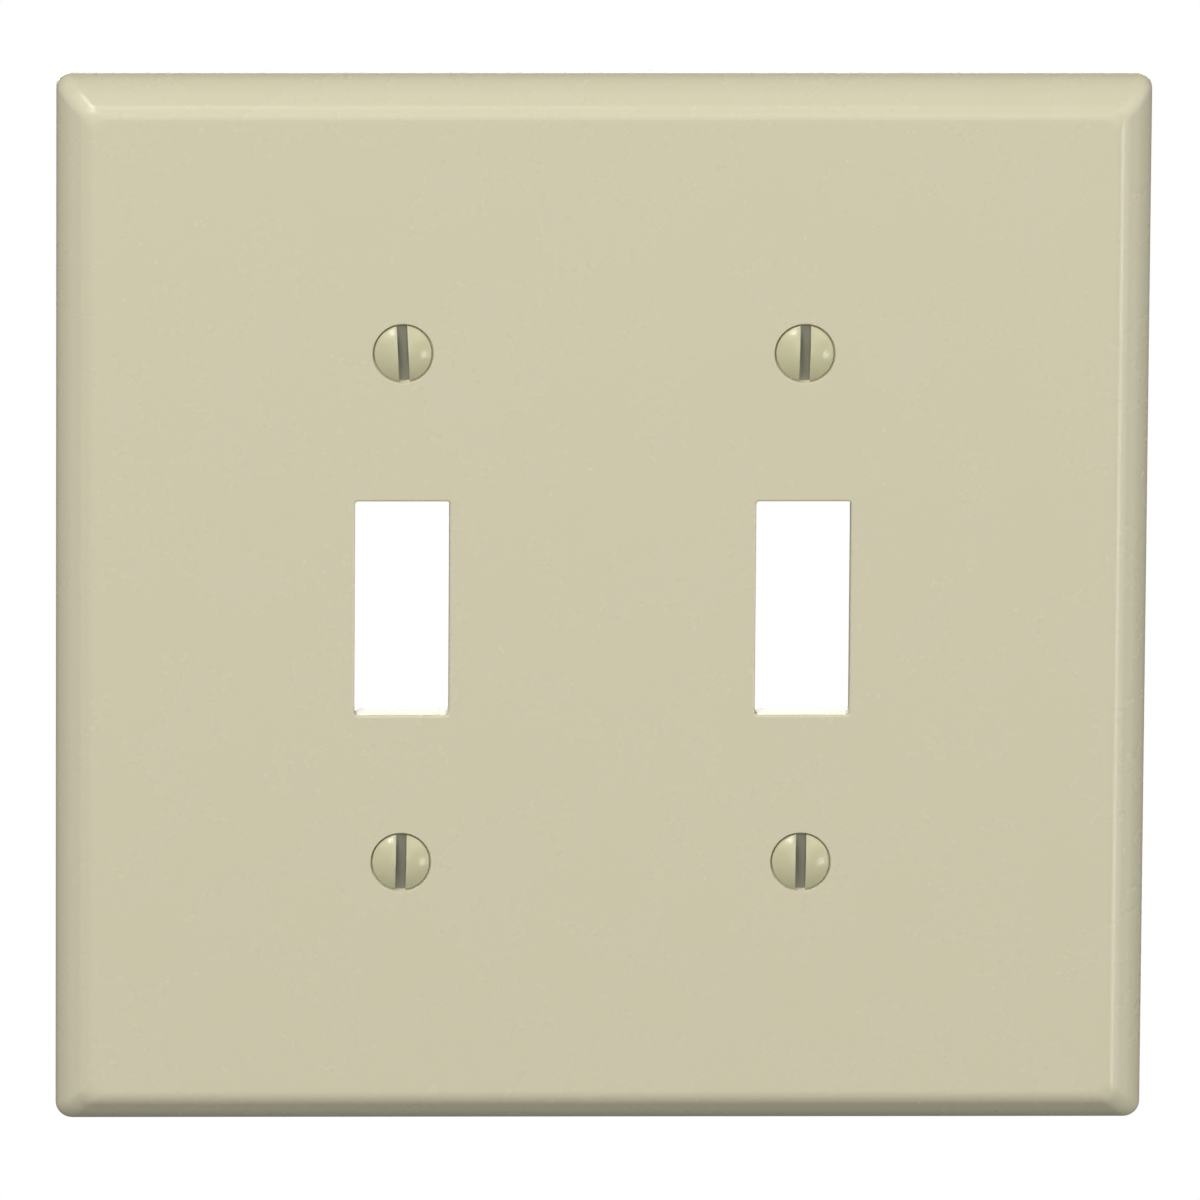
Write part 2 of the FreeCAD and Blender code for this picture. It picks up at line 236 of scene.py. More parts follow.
arc = add_node(
    sweep,
    "ShaderNodeVectorMath",
    {0: direction.outputs[0], "Scale": parts.outputs["Z"]},
    operation="SCALE",
)
flat = add_node(
    sweep,
    "ShaderNodeVectorMath",
    {0: corner.outputs[0], 1: arc.outputs[0]},
    operation="ADD",
)
forward = add_node(sweep, "ShaderNodeMath", {0: parts.outputs["Y"], 1: -1.0}, operation="MULTIPLY")
lifted = add_node(sweep, "ShaderNodeCombineXYZ", {"Y": forward.outputs[0]})
target = add_node(
    sweep,
    "ShaderNodeVectorMath",
    {0: flat.outputs[0], 1: lifted.outputs[0]},
    operation="ADD",
)
moved = add_node(
    sweep, "GeometryNodeSetPosition", {"Geometry": grid.outputs["Mesh"], "Position": target.outputs[0]}
)
closed = add_node(sweep, "GeometryNodeMergeByDistance", {"Geometry": moved.outputs[0], "Distance": 1e-6})
outward = add_node(sweep, "GeometryNodeFlipFaces", {"Mesh": closed.outputs[0]})
sweep.links.new(outward.outputs[0], result["Mesh"])


def round_corners(corners):
    """Stations for a section given by its corners (inset, level, plan radius, fillet, steps)."""
    stations = []
    for number, (inset, level, plan, fillet, steps) in enumerate(corners):
        here = Vector((inset, level, plan))
        if fillet == 0:
            stations.append(here)
            continue
        back = Vector(corners[number - 1][:3]) - here
        ahead = Vector(corners[number + 1][:3]) - here
        flat_back = back.xy.normalized()
        flat_ahead = ahead.xy.normalized()
        turn = math.pi - flat_back.angle(flat_ahead)
        reach = fillet * math.tan(turn / 2)
        start = here + back * (reach / back.xy.length)
        end = here + ahead * (reach / ahead.xy.length)
        centre = here.xy + (flat_back + flat_ahead).normalized() * (fillet / math.cos(turn / 2))
        for step in range(steps + 1):
            share = step / steps
            towards_start = math.sin((1 - share) * turn) / math.sin(turn)
            towards_end = math.sin(share * turn) / math.sin(turn)
            point = centre + (start.xy - centre) * towards_start + (end.xy - centre) * towards_end
            plan_now = (1 - share) ** 2 * start.z + 2 * share * (1 - share) * here.z + share**2 * end.z
            stations.append(Vector((point.x, point.y, plan_now)))
    return stations


def mould(name, half_size, corners, corner_steps=8):
    """A closed solid swept round the outline; its first and last stations close on the middle."""
    sizes = {"Half Size": (half_size[0], 0.0, half_size[1]), "Corner Steps": corner_steps}
    return run_tree(lay_points(name, round_corners(corners)), sweep, sizes)


small = SMALL_ROUNDING_STEPS
shell_middle = min(half_width, half_height)
web_middle = (plate_depth + hollow_depth) / 2
floor_inset = rim_land + hollow_lean
face_start = face_corner_inset + rounding_reach
sweep_corner = (sweep_reach * math.cos(rim_tilt), skirt_depth + sweep_reach * math.sin(rim_tilt))
shell = mould(
    "plate_shell",
    (half_width, half_height),
    [
        (shell_middle, hollow_depth, 0, 0, 0),
        (floor_inset + 2 * MM, hollow_depth, 1.0 * MM, 0, 0),
        (floor_inset, hollow_depth, edge_corner, 0.6 * MM, small),
        (rim_land, 0, 2.4 * MM, 0.12 * MM, small),
        (0, 0, edge_corner, 0.15 * MM, small),
        (0, skirt_depth, edge_corner, skirt_rounding, BIG_ROUNDING_STEPS),
        (sweep_corner[0], sweep_corner[1], edge_corner, slope_rounding, BIG_ROUNDING_STEPS),
        (face_corner_inset, plate_depth, 1.6 * MM, face_rounding, BIG_ROUNDING_STEPS),
        (face_start + 0.5 * MM, plate_depth, 1.4 * MM, 0, 0),
        (shell_middle, plate_depth, 0, 0, 0),
    ],
    corner_steps=10,
)
opening_middle = min(opening_half)
past_face = plate_depth + 1 * MM
past_back = 1 * MM
opening_cutter = mould(
    "opening_cutter",
    opening_half,
    [
        (opening_middle, past_back, 0, 0, 0),
        (0, past_back, opening_corner, 0, 0),
        (0, plate_depth, opening_corner, opening_lip, small),
        (-opening_lip, plate_depth, opening_corner + opening_lip, 0, 0),
        (-opening_lip, past_face, opening_corner + opening_lip, 0, 0),
        (opening_middle, past_face, 0, 0, 0),
    ],
)
seat_mouth = 0.08 * MM
cone_depth = (seat_radius - hole_radius) / math.tan(seat_half_angle)
seat_cutter = mould(
    "seat_cutter",
    (seat_radius, seat_radius),
    [
        (seat_radius, past_back, 0, 0, 0),
        (seat_radius - hole_radius, past_back, hole_radius, 0, 0),
        (seat_radius - hole_radius, plate_depth - seat_edge - cone_depth, hole_radius, 0, 0),
        (0, plate_depth - seat_edge, seat_radius, 0, 0),
        (0, plate_depth, seat_radius, seat_mouth, small),
        (-seat_mouth, plate_depth, seat_radius + seat_mouth, 0, 0),
        (-seat_mouth, past_face, seat_radius + seat_mouth, 0, 0),
        (seat_radius, past_face, 0, 0, 0),
    ],
    corner_steps=16,
)
collar_half = (opening_half[0] + collar_wall, opening_half[1] + collar_wall)
collar_top = hollow_depth - collar_rise
collar = mould(
    "opening_collar",
    collar_half,
    [
        (min(collar_half), collar_top, 0, 0, 0),
        (0, collar_top, collar_corner, back_rounding, small),
        (0, web_middle, collar_corner, 0, 0),
        (min(collar_half), web_middle, 0, 0, 0),
    ],
)
boss_top = hollow_depth - boss_rise
boss = mould(
    "screw_boss",
    (boss_radius, boss_radius),
    [
        (boss_radius, boss_top, 0, 0, 0),
        (0, boss_top, boss_radius, back_rounding, small),
        (0, web_middle, boss_radius, 0, 0),
        (boss_radius, web_middle, 0, 0, 0),
    ],
    corner_steps=14,
)
ribs = []
for rib_name, rib_half in (
    ("upright_rib", (rib_half_width, half_height - rim_land)),
    ("cross_rib", (half_width - rim_land, rib_half_width)),
):
    rib_corners = [
        (rib_half_width, hollow_depth - rib_rise, 0, 0, 0),
        (0, hollow_depth - rib_rise, rib_corner, back_rounding, small),
        (0, web_middle, rib_corner, 0, 0),
        (rib_half_width, web_middle, 0, 0, 0),
    ]
    ribs.append(mould(rib_name, rib_half, rib_corners, corner_steps=4))
upright_rib, cross_rib = ribs
ejector_mark = mould(
    "ejector_mark",
    (ejector_radius, ejector_radius),
    [
        (ejector_radius, past_back, 0, 0, 0),
        (0, past_back, ejector_radius, 0, 0),
        (0, hollow_depth + ejector_sink, ejector_radius, 0, 0),
        (ejector_radius, hollow_depth + ejector_sink, 0, 0, 0),
    ],
)

# The moulding: ribs, collars and bosses grow out of the web, then the toggle openings, the
# screw seats and the faint marks of the ejector pins are taken away.
plate_inputs = {
    "Opening Cutter": "Object",
    "Seat Cutter": "Object",
    "Collar": "Object",
    "Boss": "Object",
    "Upright Rib": "Object",
    "Cross Rib": "Object",
    "Ejector Mark": "Object",
    "Gang Spacing": "Float",
    "Screw Spacing": "Float",
    "Rib Spacing": "Float",
    "Ejector Width": "Float",
    "Ejector Height": "Float",
    "Plastic": "Material",
}
moulding, given, result = start_tree("moulded_plate", plate_inputs)


def spread(tool, size_x, size_z, count_x, count_z):
    """Copies of a tool, as real geometry, on the points of an upright grid."""
    points = add_node(
        moulding,
        "GeometryNodeMeshGrid",
        {"Size X": size_x, "Size Y": size_z, "Vertices X": count_x, "Vertices Y": count_z},
    )
    upright = add_node(
        moulding,
        "GeometryNodeTransform",
        {"Geometry": points.outputs["Mesh"], "Rotation": (math.pi / 2, 0, 0)},
    )
    shape = add_node(moulding, "GeometryNodeObjectInfo", {"Object": given[tool]})
    copies = add_node(
        moulding,
        "GeometryNodeInstanceOnPoints",
        {"Points": upright.outputs[0], "Instance": shape.outputs["Geometry"]},
    )
    return add_node(moulding, "GeometryNodeRealizeInstances", {0: copies.outputs[0]}).outputs[0]


gang = given["Gang Spacing"]
screw_gap = given["Screw Spacing"]
body = given["Mesh"]
for operation, solids in (
    ("UNION", [spread("Upright Rib", 0, 0, 1, 1)]),
    ("UNION", [spread("Cross Rib", 0, given["Rib Spacing"], 1, 2)]),
    ("UNION", [spread("Collar", gang, 0, 2, 1), spread("Boss", gang, screw_gap, 2, 2)]),
    ("DIFFERENCE", [spread("Opening Cutter", gang, 0, 2, 1), spread("Seat Cutter", gang, screw_gap, 2, 2)]),
    ("DIFFERENCE", [spread("Ejector Mark", given["Ejector Width"], given["Ejector Height"], 2, 3)]),
):
    joined = add_node(moulding, "GeometryNodeMeshBoolean", operation=operation, solver="MANIFOLD")
    if operation == "UNION":
        solids.append(body)
    else:
        moulding.links.new(body, joined.inputs["Mesh 1"])
    for solid in solids:
        moulding.links.new(solid, joined.inputs["Mesh 2"])
    body = joined.outputs["Mesh"]
realized = add_node(moulding, "GeometryNodeRealizeInstances", {0: body})
finished = add_node(
    moulding, "GeometryNodeSetMaterial", {"Geometry": realized.outputs[0], "Material": given["Plastic"]}
)
moulding.links.new(finished.outputs[0], result["Mesh"])


def linear(hex_colour):
    """An sRGB hex colour as linear RGBA."""
    values = [int(hex_colour[start : start + 2], 16) / 255 for start in (0, 2, 4)]
    return tuple(v / 12.92 if v <= 0.04045 else ((v + 0.055) / 1.055) ** 2.4 for v in values) + (1.0,)


# Compression-moulded urea: hard and even, with the satin gloss of a polished steel mould. Close
# to, the skin has a faint orange peel and the filler gives a barely visible cloudiness.
urea = bpy.data.materials.new("ivory_moulded_urea")
urea.use_nodes = True
tree = urea.node_tree
shader = tree.nodes["Principled BSDF"]
shader.inputs["IOR"].default_value = 1.55
where = add_node(tree, "ShaderNodeTexCoord")
cloud = add_node(
    tree,
    "ShaderNodeTexNoise",
    {"Vector": where.outputs["Object"], "Scale": 1 / (9 * MM), "Detail": 4.0, "Roughness": 0.6},
)
tint = add_node(
    tree,
    "ShaderNodeMix",
    {0: cloud.outputs["Fac"], 6: linear("dcd6b7"), 7: linear("ddd6b9")},
    data_type="RGBA",
)
tree.links.new(tint.outputs[2], shader.inputs["Base Color"])
gloss = add_node(
    tree,
    "ShaderNodeMapRange",
    {"Value": cloud.outputs["Fac"], "From Min": 0.3, "From Max": 0.7, "To Min": 0.25, "To Max": 0.29},
)
tree.links.new(gloss.outputs["Result"], shader.inputs["Roughness"])
peel = add_node(
    tree,
    "ShaderNodeTexNoise",
    {"Vector": where.outputs["Object"], "Scale": 1 / (0.9 * MM), "Detail": 2.0},
)
skin = add_node(
    tree,
    "ShaderNodeBump",
    {"Height": peel.outputs["Fac"], "Strength": 1.0, "Distance": 0.003 * MM},
)
tree.links.new(skin.outputs["Normal"], shader.inputs["Normal"])


def finish_surface(piece):
    """Smooth the roundings, keep real edges sharp, and let the flat faces rule the shading."""
    piece.data.shade_smooth()
    piece.data.set_sharp_from_angle(angle=math.radians(32))
    weighted = piece.modifiers.new("weighted_normals", "WEIGHTED_NORMAL")
    weighted.keep_sharp = True
    weighted.weight = 100
    evaluated = piece.evaluated_get(bpy.context.evaluated_depsgraph_get())
    smooth = bpy.data.meshes.new_from_object(evaluated)
    piece.modifiers.clear()
    piece.data = smooth


tools = {
    "Opening Cutter": opening_cutter,
    "Seat Cutter": seat_cutter,
    "Collar": collar,
    "Boss": boss,
    "Upright Rib": upright_rib,
    "Cross Rib": cross_rib,
    "Ejector Mark": ejector_mark,
}
spacings = {
    "Gang Spacing": 2 * half_gang,
    "Screw Spacing": 2 * half_screws,
    "Rib Spacing": 2 * rib_offset,
    "Ejector Width": ejector_spread[0],
    "Ejector Height": ejector_spread[1],
    "Plastic": urea,
}
plate = run_tree(shell, moulding, {**tools, **spacings})
plate.name = "moulded_wall_plate"
for tool in tools.values():
    bpy.data.objects.remove(tool)
finish_surface(plate)
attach(plate, "plate")
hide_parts("wall_plate")

# ---------------------------------------------------------------------------------------------
# Four oval-head device screws, number 6 by 32 threads to the inch: cold-headed steel with a sawn
# driving slot and a rolled thread, zinc plated, the heads then enamelled to match the plate.
# Each sits in its countersunk seat with its slot near upright, left at the angle it tightened to.
# ---------------------------------------------------------------------------------------------

head_radius = 3.3 * MM
crown = 0.92 * MM
crown_radius = (head_radius**2 + crown**2) / (2 * crown)
paint_reach = 3.18 * MM
head_edge = 0.3 * MM
slot_half = 0.575 * MM
slot_depth = 1.35 * MM
slot_corner = 0.14 * MM
paint_rounding = 0.13 * MM
neck_radius = 1.5 * MM
neck_length = 1.7 * MM
thread_pitch = 25.4 * MM / 32
crest_radius = 1.7525 * MM
thread_depth = 0.54 * thread_pitch
screw_length = 12.7 * MM
tip_bevel = 0.5 * MM
paint_edge = 0.45 * MM
OUT_OF_PLAY = 10 * MM
RINGS_PER_TURN = 12
screw_leans = {
    "upper_left_screw": 2.7,
    "upper_right_screw": -1.3,
    "lower_left_screw": -1.2,
    "lower_right_screw": -0.7,
}


def head_cut(floor_steps=3, edge_steps=5, dome_steps=16):
    """Stations across the head (across, drop below the dome, rise over the slot's floor)."""
    right_side = []
    for step in range(floor_steps + 1):
        turn = math.pi / 2 * step / floor_steps
        across = slot_half - slot_corner + slot_corner * math.sin(turn)
        right_side.append(Vector((across, OUT_OF_PLAY, slot_corner - slot_corner * math.cos(turn))))
    for step in range(edge_steps + 1):
        turn = math.pi / 2 * step / edge_steps
        across = slot_half + paint_rounding - paint_rounding * math.cos(turn)
        drop = paint_rounding - paint_rounding * math.sin(turn)
        right_side.append(Vector((across, drop, -OUT_OF_PLAY)))
    first_turn = math.asin((slot_half + paint_rounding) / paint_reach)
    for step in range(1, dome_steps + 1):
        turn = first_turn + (math.pi / 2 - first_turn) * step / dome_steps
        right_side.append(Vector((paint_reach * math.sin(turn), 0, -OUT_OF_PLAY)))
    left_side = [Vector((-across, drop, rise)) for across, drop, rise in reversed(right_side)]
    return left_side + [Vector((0, OUT_OF_PLAY, 0))] + right_side


def side_profile(rim_steps=5, cone_steps=4):
    """Rings from the dome's rim to the tip (radius, share of thread, level under the head)."""
    dome_slope = math.asin(paint_reach / crown_radius)
    rim_rounding = (head_radius - paint_reach) / (1 - math.sin(dome_slope))
    rim_level = math.sqrt(crown_radius**2 - paint_reach**2) - (crown_radius - crown)
    rings = []
    for step in range(rim_steps + 1):
        turn = dome_slope + (math.pi / 2 - dome_slope) * step / rim_steps
        radius = head_radius - rim_rounding * (1 - math.sin(turn))
        level = rim_level - rim_rounding * (math.cos(dome_slope) - math.cos(turn))
        rings.append(Vector((radius, 0, level)))
    cone_foot = -head_edge - (head_radius - neck_radius) / math.tan(seat_half_angle)
    for step in range(cone_steps + 1):
        share = step / cone_steps
        radius = head_radius + (neck_radius - head_radius) * share
        rings.append(Vector((radius, 0, -head_edge + (cone_foot + head_edge) * share)))
    neck_foot = cone_foot - neck_length
    rings.append(Vector((neck_radius, 0, neck_foot)))
    ring_gap = thread_pitch / RINGS_PER_TURN
    ring_count = round((screw_length + neck_foot) / ring_gap)
    run_out_rings = 4
    for ring in range(1, ring_count):
        level = neck_foot - (screw_length + neck_foot) * ring / ring_count
        rings.append(Vector((neck_radius, min(1, ring / run_out_rings), level)))
    rings.append(Vector((crest_radius - tip_bevel, 0, -screw_length)))
    rings.append(Vector((0, 0, -screw_length)))
    return rings


# One screw: a patch for the slotted dome and a grid of rings for its side, whose columns start
# on the rim of the patch. It is shaped along its own axis, then turned and set in its seat.
screw_inputs = {
    "Side Profile": "Object",
    "Steps Along": "Int",
    "Reach": "Float",
    "Head Radius": "Float",
    "Head Edge": "Float",
    "Cone Slope": "Float",
    "Crown": "Float",
    "Crown Radius": "Float",
    "Slot Half Width": "Float",
    "Slot Floor": "Float",
    "Ragged Edge": "Float",
    "Seed": "Float",
    "Pitch": "Float",
    "Root Radius": "Float",
    "Thread Depth": "Float",
    "Tip Radius": "Float",
    "Length": "Float",
    "Paint Edge": "Float",
    "Lean": "Float",
    "Seat": "Vector",
    "Enamel": "Material",
    "Plating": "Material",
}
threading, given, result = start_tree("slotted_screw", screw_inputs)
index = add_node(threading, "GeometryNodeInputIndex").outputs[0]
place = add_node(threading, "GeometryNodeInputPosition").outputs[0]
stations = add_node(
    threading,
    "GeometryNodeAttributeDomainSize",
    {0: given["Mesh"]},
).outputs["Point Count"]
steps = given["Steps Along"]
patch = add_node(threading, "GeometryNodeMeshGrid", {"Vertices X": stations, "Vertices Y": steps})
row = add_node(threading, "FunctionNodeIntegerMath", {0: index, 1: steps}, operation="DIVIDE")
column = add_node(threading, "FunctionNodeIntegerMath", {0: index, 1: steps}, operation="MODULO")
last_step = add_node(threading, "FunctionNodeIntegerMath", {0: steps, 1: 1}, operation="SUBTRACT")
share = add_node(
    threading,
    "ShaderNodeMath",
    {0: column.outputs[0], 1: last_step.outputs[0]},
    operation="DIVIDE",
)
swing = add_node(
    threading,
    "ShaderNodeMath",
    {0: share.outputs[0], 1: math.pi, 2: -math.pi / 2},
    operation="MULTIPLY_ADD",
)
lengthwise = add_node(threading, "ShaderNodeMath", {0: swing.outputs[0]}, operation="SINE")
cut = add_node(
    threading,
    "GeometryNodeSampleIndex",
    {"Geometry": given["Mesh"], "Value": place, "Index": row.outputs[0]},
    data_type="FLOAT_VECTOR",
    domain="POINT",
)
cut_parts = add_node(threading, "ShaderNodeSeparateXYZ", {0: cut.outputs["Value"]})
across = cut_parts.outputs["X"]
across_squared = add_node(threading, "ShaderNodeMath", {0: across, 1: across}, operation="MULTIPLY")
reach_squared = add_node(
    threading,
    "ShaderNodeMath",
    {0: given["Reach"], 1: given["Reach"]},
    operation="MULTIPLY",
)
chord_squared = add_node(
    threading,
    "ShaderNodeMath",
    {0: reach_squared.outputs[0], 1: across_squared.outputs[0]},
    operation="SUBTRACT",
)
half_chord = add_node(threading, "ShaderNodeMath", {0: chord_squared.outputs[0]}, operation="SQRT")
along = add_node(
    threading,
    "ShaderNodeMath",
    {0: lengthwise.outputs[0], 1: half_chord.outputs[0]},
    operation="MULTIPLY",
)

# The saw and the enamel leave the slot's edges slightly ragged.
side = add_node(threading, "ShaderNodeMath", {0: across}, operation="SIGN")
edge_point = add_node(
    threading, "ShaderNodeCombineXYZ", {"X": along.outputs[0], "Y": side.outputs[0], "Z": given["Seed"]}
)
ragged = add_node(
    threading,
    "ShaderNodeTexNoise",
    {"Vector": edge_point.outputs[0], "Scale": 1 / (1.1 * MM), "Detail": 3.0},
)
shift = add_node(threading, "ShaderNodeMath", {0: ragged.outputs[0], 1: 0.5}, operation="SUBTRACT")
shift_size = add_node(
    threading, "ShaderNodeMath", {0: shift.outputs[0], 1: given["Ragged Edge"]}, operation="MULTIPLY"
)
from_middle = add_node(threading, "ShaderNodeMath", {0: across}, operation="ABSOLUTE")
from_edge = add_node(
    threading,
    "ShaderNodeMath",
    {0: from_middle.outputs[0], 1: given["Slot Half Width"]},
    operation="SUBTRACT",
)
edge_distance = add_node(threading, "ShaderNodeMath", {0: from_edge.outputs[0]}, operation="ABSOLUTE")
near_edge = add_node(
    threading,
    "ShaderNodeMapRange",
    {
        "Value": edge_distance.outputs[0],
        "From Min": 0.0,
        "From Max": 0.5 * MM,
        "To Min": 1.0,
        "To Max": 0.0,
    },
)
moved_across = add_node(
    threading,
    "ShaderNodeMath",
    {0: shift_size.outputs[0], 1: near_edge.outputs[0], 2: across},
    operation="MULTIPLY_ADD",
)

flat = add_node(threading, "ShaderNodeCombineXYZ", {"X": moved_across.outputs[0], "Y": along.outputs[0]})
flat_squared = add_node(
    threading, "ShaderNodeVectorMath", {0: flat.outputs[0], 1: flat.outputs[0]}, operation="DOT_PRODUCT"
)
crown_squared = add_node(
    threading,
    "ShaderNodeMath",
    {0: given["Crown Radius"], 1: given["Crown Radius"]},
    operation="MULTIPLY",
)
rise_squared = add_node(
    threading,
    "ShaderNodeMath",
    {0: crown_squared.outputs[0], 1: flat_squared.outputs["Value"]},
    operation="SUBTRACT",
)
rise = add_node(threading, "ShaderNodeMath", {0: rise_squared.outputs[0]}, operation="SQRT")
ball_middle = add_node(
    threading, "ShaderNodeMath", {0: given["Crown Radius"], 1: given["Crown"]}, operation="SUBTRACT"
)
dome = add_node(
    threading,
    "ShaderNodeMath",
    {0: rise.outputs[0], 1: ball_middle.outputs[0]},
    operation="SUBTRACT",
)
lowered = add_node(
    threading,
    "ShaderNodeMath",
    {0: dome.outputs[0], 1: cut_parts.outputs["Y"]},
    operation="SUBTRACT",
)
slot_floor = add_node(
    threading, "ShaderNodeMath", {0: given["Slot Floor"], 1: cut_parts.outputs["Z"]}, operation="ADD"
)
level = add_node(
    threading,
    "ShaderNodeMath",
    {0: lowered.outputs[0], 1: slot_floor.outputs[0]},
    operation="MAXIMUM",
)
patch_place = add_node(
    threading,
    "ShaderNodeCombineXYZ",
    {"X": moved_across.outputs[0], "Y": along.outputs[0], "Z": level.outputs[0]},
)
top = add_node(
    threading,
    "GeometryNodeSetPosition",
    {"Geometry": patch.outputs["Mesh"], "Position": patch_place.outputs[0]},
)

# Each column of the side starts at one end of a station: first along the lower rim, then back
# along the upper one.
profile = add_node(
    threading,
    "GeometryNodeObjectInfo",
    {"Object": given["Side Profile"]},
).outputs["Geometry"]
rings = add_node(threading, "GeometryNodeAttributeDomainSize", {0: profile}).outputs["Point Count"]
columns = add_node(
    threading,
    "FunctionNodeIntegerMath",
    {0: stations, 1: 2},
    operation="MULTIPLY",
).outputs[0]
last_column = add_node(threading, "FunctionNodeIntegerMath", {0: columns, 1: 1}, operation="SUBTRACT")
wall = add_node(threading, "GeometryNodeMeshGrid", {"Vertices X": rings, "Vertices Y": columns})
ring = add_node(threading, "FunctionNodeIntegerMath", {0: index, 1: columns}, operation="DIVIDE")
wall_column = add_node(threading, "FunctionNodeIntegerMath", {0: index, 1: columns}, operation="MODULO")
way_back = add_node(
    threading,
    "FunctionNodeIntegerMath",
    {0: last_column.outputs[0], 1: wall_column.outputs[0]},
    operation="SUBTRACT",
)
rim_station = add_node(
    threading,
    "FunctionNodeIntegerMath",
    {0: wall_column.outputs[0], 1: way_back.outputs[0]},
    operation="MINIMUM",
)
upper_rim = add_node(
    threading, "FunctionNodeIntegerMath", {0: wall_column.outputs[0], 1: stations}, operation="DIVIDE"
)
rim_start = add_node(
    threading, "FunctionNodeIntegerMath", {0: rim_station.outputs[0], 1: steps}, operation="MULTIPLY"
)
rim_index = add_node(
    threading,
    "FunctionNodeIntegerMath",
    {0: upper_rim.outputs[0], 1: last_step.outputs[0], 2: rim_start.outputs[0]},
    operation="MULTIPLY_ADD",
)
rim = add_node(
    threading,
    "GeometryNodeSampleIndex",
    {"Geometry": top.outputs[0], "Value": place, "Index": rim_index.outputs[0]},
    data_type="FLOAT_VECTOR",
    domain="POINT",
).outputs["Value"]
rim_parts = add_node(threading, "ShaderNodeSeparateXYZ", {0: rim})
outline = add_node(
    threading,
    "GeometryNodeSampleIndex",
    {"Geometry": profile, "Value": place, "Index": ring.outputs[0]},
    data_type="FLOAT_VECTOR",
    domain="POINT",
)
outline_parts = add_node(threading, "ShaderNodeSeparateXYZ", {0: outline.outputs["Value"]})
ring_level = outline_parts.outputs["Z"]

# A right-hand thread: its crest climbs one pitch in each turn.
bearing = add_node(
    threading,
    "ShaderNodeMath",
    {0: rim_parts.outputs["Y"], 1: rim_parts.outputs["X"]},
    operation="ARCTAN2",
)
turned = add_node(
    threading,
    "ShaderNodeMath",
    {0: bearing.outputs[0], 1: 2 * math.pi},
    operation="DIVIDE",
)
climbed = add_node(threading, "ShaderNodeMath", {0: ring_level, 1: given["Pitch"]}, operation="DIVIDE")
helix = add_node(
    threading,
    "ShaderNodeMath",
    {0: climbed.outputs[0], 1: turned.outputs[0]},
    operation="SUBTRACT",
)
in_turn = add_node(threading, "ShaderNodeMath", {0: helix.outputs[0]}, operation="FRACT")
off_crest = add_node(threading, "ShaderNodeMath", {0: in_turn.outputs[0], 1: 0.5}, operation="SUBTRACT")
off_crest_size = add_node(threading, "ShaderNodeMath", {0: off_crest.outputs[0]}, operation="ABSOLUTE")
flank = add_node(
    threading,
    "ShaderNodeMapRange",
    {
        "Value": off_crest_size.outputs[0],
        "From Min": 1 / 16,
        "From Max": 3 / 8,
        "To Min": 1.0,
        "To Max": 0.0,
    },
)
threaded = add_node(
    threading,
    "ShaderNodeMath",
    {0: flank.outputs["Result"], 1: given["Thread Depth"], 2: given["Root Radius"]},
    operation="MULTIPLY_ADD",
)
ring_radius = add_node(
    threading,
    "ShaderNodeMix",
    {0: outline_parts.outputs["Y"], 2: outline_parts.outputs["X"], 3: threaded.outputs[0]},
    data_type="FLOAT",
)
above_tip = add_node(threading, "ShaderNodeMath", {0: ring_level, 1: given["Length"]}, operation="ADD")
tip_limit = add_node(
    threading,
    "ShaderNodeMath",
    {0: above_tip.outputs[0], 1: given["Tip Radius"]},
    operation="ADD",
)
bevelled = add_node(
    threading,
    "ShaderNodeMath",
    {0: ring_radius.outputs[0], 1: tip_limit.outputs[0]},
    operation="MINIMUM",
)

# Where the slot runs out through the side, the side starts at the slot's floor.
below_edge = add_node(
    threading, "ShaderNodeMath", {0: rim_parts.outputs["Z"], 1: given["Head Edge"]}, operation="ADD"
)
on_cone = add_node(threading, "ShaderNodeMath", {0: below_edge.outputs[0], 1: 0.0}, operation="MINIMUM")
slot_limit = add_node(
    threading,
    "ShaderNodeMath",
    {0: on_cone.outputs[0], 1: given["Cone Slope"], 2: given["Head Radius"]},
    operation="MULTIPLY_ADD",
)
final_radius = add_node(
    threading, "ShaderNodeMath", {0: bevelled.outputs[0], 1: slot_limit.outputs[0]}, operation="MINIMUM"
)
final_level = add_node(
    threading,
    "ShaderNodeMath",
    {0: ring_level, 1: rim_parts.outputs["Z"]},
    operation="MINIMUM",
)
cosine = add_node(threading, "ShaderNodeMath", {0: bearing.outputs[0]}, operation="COSINE")
sine = add_node(threading, "ShaderNodeMath", {0: bearing.outputs[0]}, operation="SINE")
spoke_x = add_node(
    threading,
    "ShaderNodeMath",
    {0: cosine.outputs[0], 1: final_radius.outputs[0]},
    operation="MULTIPLY",
)
spoke_y = add_node(
    threading,
    "ShaderNodeMath",
    {0: sine.outputs[0], 1: final_radius.outputs[0]},
    operation="MULTIPLY",
)
ring_place = add_node(
    threading,
    "ShaderNodeCombineXYZ",
    {"X": spoke_x.outputs[0], "Y": spoke_y.outputs[0], "Z": final_level.outputs[0]},
)
under_rim = add_node(
    threading,
    "FunctionNodeCompare",
    {2: ring.outputs[0], 3: 0},
    data_type="INT",
    operation="GREATER_THAN",
)
wall_place = add_node(
    threading,
    "GeometryNodeSwitch",
    {"Switch": under_rim.outputs[0], "False": rim, "True": ring_place.outputs[0]},
    input_type="VECTOR",
)
side_wall = add_node(
    threading,
    "GeometryNodeSetPosition",
    {"Geometry": wall.outputs["Mesh"], "Position": wall_place.outputs[0]},
)
both = add_node(threading, "GeometryNodeJoinGeometry")
threading.links.new(top.outputs[0], both.inputs[0])
threading.links.new(side_wall.outputs[0], both.inputs[0])
sealed = add_node(
    threading,
    "GeometryNodeMergeByDistance",
    {"Geometry": both.outputs[0], "Distance": 2e-6},
)
